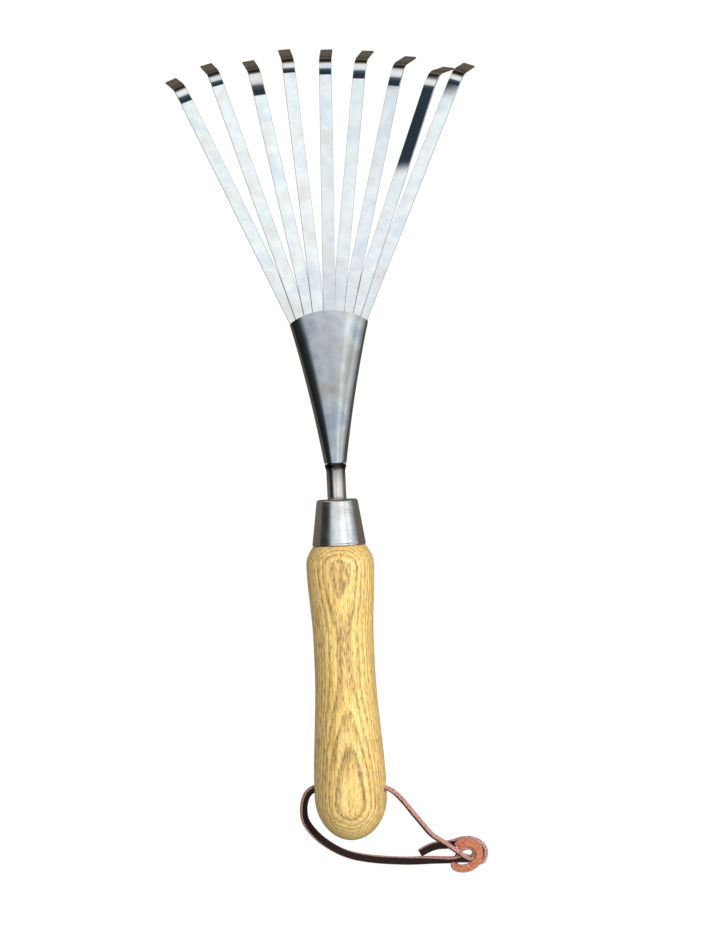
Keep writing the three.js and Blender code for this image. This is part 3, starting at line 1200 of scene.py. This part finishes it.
@dataclass
class FerruleCap:
    """The spun steel ferrule, with a rounded upper edge and a fine lower rim."""

    start: float = 146.8
    length: float = 22.8
    base: float = 13.4
    top: float = 10.2
    wall: float = 1.0
    edge: float = 1.6
    rim: float = 0.35
    hole: float = 5.05
    grooves: tuple[float, ...] = (6.4, 5.0)  # lathe lines, down from its top
    groove_shape: tuple[tuple[float, float], ...] = ((-0.4, 0), (-0.15, 0), (0, 0.012), (0.15, 0))

    def rings(self) -> list[Ring]:
        """The ferrule's wall, up the outside and down the inside."""
        end = self.start + self.length
        edge_at = end - self.edge
        edge_radius = self.top + (self.base - self.top) * self.edge / self.length
        made = [
            Ring(self.start, self.base - self.wall),
            Ring(self.start, self.base - self.rim),
            Ring(self.start + self.rim * 0.3, self.base - self.rim * 0.3),
            Ring(self.start + self.rim, self.base),
            Ring(self.start + 2.4 * self.rim, self.base + 0.02),
            Ring(self.start + 3.2 * self.rim, self.base - 0.12),
        ]
        first_at = self.start + 3.2 * self.rim
        stations = [(first_at + gap, 0.0) for gap in (0.25, 0.6)]
        stations += [(first_at + 2 * i, 0.0) for i in range(1, 6)]
        for groove in self.grooves:
            stations += [(end - groove + gap, depth) for gap, depth in self.groove_shape]
        stations += [(edge_at - gap, 0.0) for gap in (0.6, 0.25)]
        for along, depth in sorted(stations):
            t = (along - first_at) / (edge_at - first_at)
            made.append(Ring(along, mix(self.base - 0.12, edge_radius, t) - depth))
        edge_steps = 10
        for i in range(edge_steps + 1):
            angle = math.pi / 2 * i / edge_steps
            inward = self.edge * (1 - math.cos(angle))
            made.append(Ring(edge_at + self.edge * math.sin(angle), edge_radius - inward))
        made += [
            Ring(end - 0.05, self.hole + 0.5),
            Ring(end - 0.3, self.hole),
            Ring(end - self.wall, self.hole),
            Ring(end - self.wall, self.top - self.wall - self.edge),
            Ring(edge_at, self.top - self.wall),
            made[0],
        ]
        return made

    def build(self) -> None:
        """Spins the ferrule."""
        ferrule = settle(loft("ferrule_steel", self.rings(), 128, hollow=True))
        shade(ferrule)
        steel = PolishedSteel(
            "spun_steel_satin", "#e6e6e6", 0.19, lines=(5, 0.1, 5), line_depth=1.0
        )
        dress(ferrule, steel.material())
        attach(ferrule, ROOT_BODY)
        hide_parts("ferrule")
        log.info("%s", ferrule.name)


# --- Tang and socket -----------------------------------------------------------------------


@dataclass
class TangRod:
    """The round rod between handle and socket, with a rough weld bead where they meet."""

    radius: float = 4.75
    start: float = 98.8
    point: float = 7.0
    weld_from: float = 183.8
    socket_at: float = 187.6
    swell: float = 5.6
    bead: float = 0.28
    end: float = 189.5

    def rings(self) -> list[Ring]:
        """The rod's outline up to its weld."""
        made = [Ring(self.start, 1), Ring(self.start + self.point, self.radius)]
        made.append(Ring(self.weld_from - 0.6, self.radius))
        made.append(Ring(self.weld_from - 0.3, self.radius + 0.07))
        weld_steps = 16
        face = self.socket_at - 0.3
        for i in range(weld_steps + 1):
            t = i / weld_steps
            swell = mix(self.radius, self.swell - 0.1, smooth(t))
            dip = 0.3 * math.exp(-(((t - 0.82) / 0.12) ** 2))
            made.append(Ring(mix(self.weld_from, face, t), swell - dip))
        made += [Ring(face, self.swell - 1.5), Ring(self.end, self.swell - 1.5)]
        return made

    def build(self) -> None:
        """Turns the rod and roughens its weld."""
        tang = loft("tang_rod", self.rings(), 96)
        for vertex in tang.data.vertices:
            along = vertex.co.y / MM
            if self.weld_from < along < self.socket_at - 0.31:
                t = (along - self.weld_from) / (self.socket_at - self.weld_from)
                turn = math.atan2(vertex.co.z, vertex.co.x)
                lump = math.sin(turn * 9 + 2 * math.sin(turn * 4)) * math.sin(t * math.pi)
                scale = 1 + self.bead * lump * math.sin(t * 9 + turn * 3) / self.swell
                vertex.co.x *= scale
                vertex.co.z *= scale
        settle(tang)
        shade(tang, 50)
        steel = PolishedSteel("rod_steel_polished", "#f6f3ef", 0.14, band=Band.WELD)
        dress(tang, steel.material())
        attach(tang, ROOT_BODY)
        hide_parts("tang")
        log.info("%s", tang.name)


@dataclass(frozen=True)
class Tine:
    """How one tine was set.

    Attributes:
        fan_deg: Its direction, clockwise from the tool's axis.
        side: Its root's offset at the fan's apex.
        roll_deg: Its twist at the hook, outer edge up.
        reach: Distance from the fan's apex to its sharp bend.
        ease: Radius of the slow curve that leads into that bend.
        hook: Length of its straight hook past the bend.
    """

    fan_deg: float
    side: float
    roll_deg: float
    reach: float
    ease: float
    hook: float


@dataclass
class TineFan:
    """Nine flat spring-steel tines, each drawn out straight, bent, twisted and swung."""

    width: float = 6.2
    thickness: float = 0.9
    edge: float = 0.2  # rounding of the strip's edges
    apex: float = 225.0
    mouth_arc: float = 38.2
    root_length: float = 20.0
    root_roll_deg: float = 6.0
    layer_step: float = 1.35
    top: float = 4.32
    gap: float = 0.3
    ease_deg: float = 15.0
    bend_radius: float = 8.0
    bend_deg: float = 40.0
    roll_gather: float = 1.6  # 1 twists a tine evenly, more gathers the twist at the hook
    blend_share: float = 0.6
    tines: list[Tine] = field(
        default_factory=lambda: [
            Tine(-23.7, -1.6, -8, 166.8, 26, 14.2),
            Tine(-17.1, -2.5, -8, 166.3, 20, 14.8),
            Tine(-10.3, -2.3, -7, 162.1, 50, 14.4),
            Tine(-4.4, -1.8, -5, 164.4, 22, 15.2),
            Tine(1.6, -0.4, 2, 163.2, 26, 15.1),
            Tine(7.7, -0.3, 11, 163.5, 34, 14.4),
            Tine(14.3, -0.3, 18, 163.9, 36, 14.4),
            Tine(20.7, -0.7, 26, 165.6, 26, 12),
            Tine(24.1, 0.9, 12, 168.8, 20, 14.4),
        ]
    )

    @property
    def middle(self) -> int:
        """Index of the middle tine."""
        return len(self.tines) // 2

    def narrowing(self, along: float) -> float:
        """How far a tine narrows towards its root, as a share of its width."""
        after, before = self.tines[self.middle + 1], self.tines[self.middle - 1]
        half_angle = math.radians(after.fan_deg - before.fan_deg) / 2
        half_side = (after.side - before.side) / 2
        room = half_side + along * math.tan(half_angle) - self.gap
        return min(1.0, room / (self.width / 2))

    def roll(self, index: int, along: float) -> float:
        """A tine's roll about its own length, in radians."""
        tine = self.tines[index]
        root = self.root_roll_deg * ((index > self.middle) - (index < self.middle))
        t = (along - self.mouth_arc) / (tine.reach - self.mouth_arc)
        t = min(max(t, 0.0), 1.0)
        return math.radians(mix(root, tine.roll_deg, t**self.roll_gather))

    def bends(self, index: int) -> tuple[list[tuple[float, float, float, float, int]], Vector]:
        """The bends of one tine in side view, in its own frame.

        Args:
            index: Which tine.

        Returns:
            For each bend its centre along and up, its radius, its turn in radians and its
            steps; and where the last one ends: along, up and the slope there in radians.
        """
        tine = self.tines[index]
        ease = math.radians(self.ease_deg)
        down, along, up = 0.0, tine.reach - tine.ease * math.sin(ease), 0.0
        made = []
        for radius, turn, steps in (
            (tine.ease, ease, 16),
            (self.bend_radius, math.radians(self.bend_deg), 24),
        ):
            middle = (along - radius * math.sin(down), up - radius * math.cos(down))
            made.append((*middle, radius, turn, steps))
            down += turn
            along, up = middle[0] + radius * math.sin(down), middle[1] + radius * math.cos(down)
        return made, Vector((along, up, down))

    def strip(self, index: int, clearance: float = 0.0) -> bpy.types.Object:
        """Draws one tine out in its own frame, Y away from the apex.

        Args:
            index: Which tine.
            clearance: How much it is fattened on every side, for the room that it needs.

        Returns:
            The bent strip, before it is twisted.
        """
        tine = self.tines[index]
        start = self.mouth_arc - self.root_length - clearance
        width = (self.width + 2 * clearance) * MM
        depth = (self.thickness + 2 * clearance) * MM
        root = 4.0
        deselect()
        bpy.ops.mesh.primitive_cube_add(size=1, location=(0, (start + root / 2) * MM, 0))
        bpy.context.object.scale = (width, root * MM, depth)
        strip = named(f"tine_strip_{index + 1}")
        bpy.ops.object.mode_set(mode="EDIT")
        self.select_end(strip)
        bends, bent = self.bends(index)
        straight = 40
        step = (bends[0][0] - start - root) / straight
        for _ in range(straight):
            bpy.ops.mesh.extrude_region_move(TRANSFORM_OT_translate={"value": (0, step * MM, 0)})
        for along, up, _, turn, steps in bends:
            # Spin turns against its axis, so +X bends the strip down.
            bpy.ops.mesh.spin(
                steps=steps, angle=turn, center=(0, along * MM, up * MM), axis=(1, 0, 0)
            )
        reach = Vector((0, math.cos(bent.z), -math.sin(bent.z))) * tine.hook * MM
        bpy.ops.mesh.extrude_region_move(TRANSFORM_OT_translate={"value": reach})
        bpy.ops.mesh.select_all(action="SELECT")
        bpy.ops.mesh.remove_doubles(threshold=1e-6)
        bpy.ops.mesh.normals_make_consistent(inside=False)
        bpy.ops.object.mode_set(mode="OBJECT")
        return strip

    @staticmethod
    def select_end(strip: bpy.types.Object) -> None:
        """Selects the strip's end face, the one that faces along Y."""
        work = bmesh.from_edit_mesh(strip.data)
        work.select_mode = {"FACE"}
        for face in work.faces:
            face.select_set(face.normal.y > 0.9)
        bmesh.update_edit_mesh(strip.data)

    def past_bend(self, index: int, along: float, up: float) -> float:
        """Distance along the strip past the start of its sharp bend, negative before it."""
        tine = self.tines[index]
        past = along - tine.reach
        drop = tine.ease * (1 - math.cos(math.radians(self.ease_deg)))
        return past if past <= 0 else math.hypot(past, up + drop)

    def placed(self, point: Vector, index: int, pitch: float) -> Vector:
        """A strip's point where the tine holds it, in the tool's frame.

        Args:
            point: The point in the strip's own frame, in millimetres.
            index: Which tine.
            pitch: Its slope downwards, in radians.

        Returns:
            The point in the tool's frame, in millimetres.
        """
        tine = self.tines[index]
        roll = self.roll(index, point.y)
        side = point.x * self.narrowing(point.y)
        up = point.z * math.cos(roll) + side * math.sin(roll)
        across = side * math.cos(roll) - point.z * math.sin(roll)
        layer = abs(index - self.middle)
        made = Matrix.Rotation(-pitch, 3, "X") @ Vector((across, point.y - self.mouth_arc, up))
        made += Vector((0, self.mouth_arc, self.top - layer * self.layer_step))
        made = Matrix.Rotation(-math.radians(tine.fan_deg), 3, "Z") @ made
        return made + Vector((tine.side, self.apex, 0))

    def pitch(self, index: int) -> float:
        """The slope that brings a tine's hook down to the surface, in radians."""
        tine = self.tines[index]
        along, up, down = self.bends(index)[1]
        tip = Vector((0, along + tine.hook * math.cos(down), up - tine.hook * math.sin(down)))
        off = Vector((0, math.sin(down), math.cos(down))) * self.thickness / 2
        corners = [
            tip + Vector((side * self.width / 2, 0, 0)) + off * face
            for side in (-1, 1)
            for face in (-1, 1)
        ]
        pitch, rounds = 0.0, 8
        for _ in range(rounds):
            lowest = min(self.placed(corner, index, pitch).z for corner in corners)
            pitch += math.asin((lowest - SURFACE) / (tine.reach - self.mouth_arc))
        return pitch

    def place(self, strip: bpy.types.Object, index: int) -> None:
        """Twists, tips and swings a strip into place, vertex by vertex."""
        pitch = self.pitch(index)
        past = strip.data.attributes.new("past_bend", "FLOAT", "POINT")
        for vertex, mark in zip(strip.data.vertices, past.data):
            point = vertex.co / MM
            mark.value = self.past_bend(index, point.y, point.z)
            vertex.co = self.placed(point, index, pitch) * MM
        strip.data.update()

    def room(self, index: int) -> bpy.types.Object:
        """The room a tine needs where it passes the socket's wall."""
        strip = self.strip(index, clearance=self.gap)
        self.place(strip, index)
        return strip

    def build(self) -> None:
        """Makes the nine tines."""
        steel = PolishedSteel("spring_steel_bright", "#e2e3e3", 0.035, band=Band.HOOK).material()
        for index in range(len(self.tines)):
            tine = self.strip(index)
            apply_modifier(
                tine,
                "BEVEL",
                width=self.edge * MM,
                segments=3,
                limit_method="ANGLE",
                angle_limit=math.radians(50),
            )
            self.place(tine, index)
            settle(tine)
            shade(tine, 40)
            apply_modifier(tine, "WEIGHTED_NORMAL", weight=100, keep_sharp=True)
            dress(tine, steel)
            node_name = f"tine_{index + 1}"
            pivot = self.placed(Vector((0, self.mouth_arc, 0)), index, 0)
            reach = mix(self.mouth_arc, self.tines[index].reach, self.blend_share)
            far = self.placed(Vector((0, reach, 0)), index, 0)
            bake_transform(tine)
            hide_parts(node_name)
            log.info("%s", tine.name)


@dataclass
class SheetSocket:
    """The socket, sheet steel drawn from a round end to an oval mouth cut on an arc."""

    fan: TineFan
    start: float = 187.6
    length: float = 75.6
    end_radius: float = 5.6
    half_width: float = 21.04
    half_height: float = 6.87
    flare: float = 0.28
    wall: float = 1.2
    lip: float = 0.25

    def ring(self, along: float, inset: float) -> Ring:
        """The socket's oval at a distance from the butt, shrunk by inset."""
        t = (along - self.start) / self.length
        spread = t * (1 - self.flare) + t * t * self.flare
        width = mix(self.end_radius, self.half_width, spread) - inset
        return Ring(along, width, mix(self.end_radius, self.half_height, smooth(t)) - inset)

    def build(self) -> None:
        """Draws the sheet out, cuts its mouth and lets the outer tines through."""
        steps = 48
        past = self.start + self.length + 2
        outside = [self.ring(mix(self.start, past, i / steps), 0) for i in range(steps + 1)]
        first = outside[0]
        lip = self.lip
        softened = [
            Ring(first.along + 0.3 * lip, first.half_width - 0.3 * lip),
            Ring(first.along + lip, first.half_width + 0.04),
        ]
        inside = [self.ring(mix(past, self.start, i / steps), self.wall) for i in range(steps + 1)]
        end_ring = Ring(first.along, first.half_width - lip)
        rings = [end_ring, *softened, *outside[1:], *inside, end_ring]
        socket = loft("socket_sheet", rings, 160, hollow=True)
        deselect()
        bpy.ops.mesh.primitive_cylinder_add(
            vertices=360,
            radius=self.fan.mouth_arc * MM,
            depth=60 * MM,
            location=(0, self.fan.apex * MM, 0),
        )
        cut(socket, named("mouth_cutter"), "INTERSECT")
        for index in range(len(self.fan.tines)):
            if abs(index - self.fan.middle) >= self.fan.middle - 1:
                cut(socket, self.fan.room(index))
        settle(socket)
        shade(socket, 30)
        steel = PolishedSteel(
            "sheet_steel_polished", "#cccfd3", 0.07, lines=(0.9, 0.05, 0.9), line_depth=0.08, tarnish=0.4
        )
        dress(socket, steel.material())
        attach(socket, ROOT_BODY)
        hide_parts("socket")
        log.info("%s", socket.name)


def main() -> None:
    """Builds the studio, then the rake piece by piece."""
    logging.basicConfig(level=logging.INFO, format="%(name)s: %(message)s")
    Studio().build()
    Lanyard().build()
    Grip().build()
    FerruleCap().build()
    TangRod().build()
    fan = TineFan()
    SheetSocket(fan).build()
    fan.build()
    deselect()


if __name__ == "__main__":
    main()
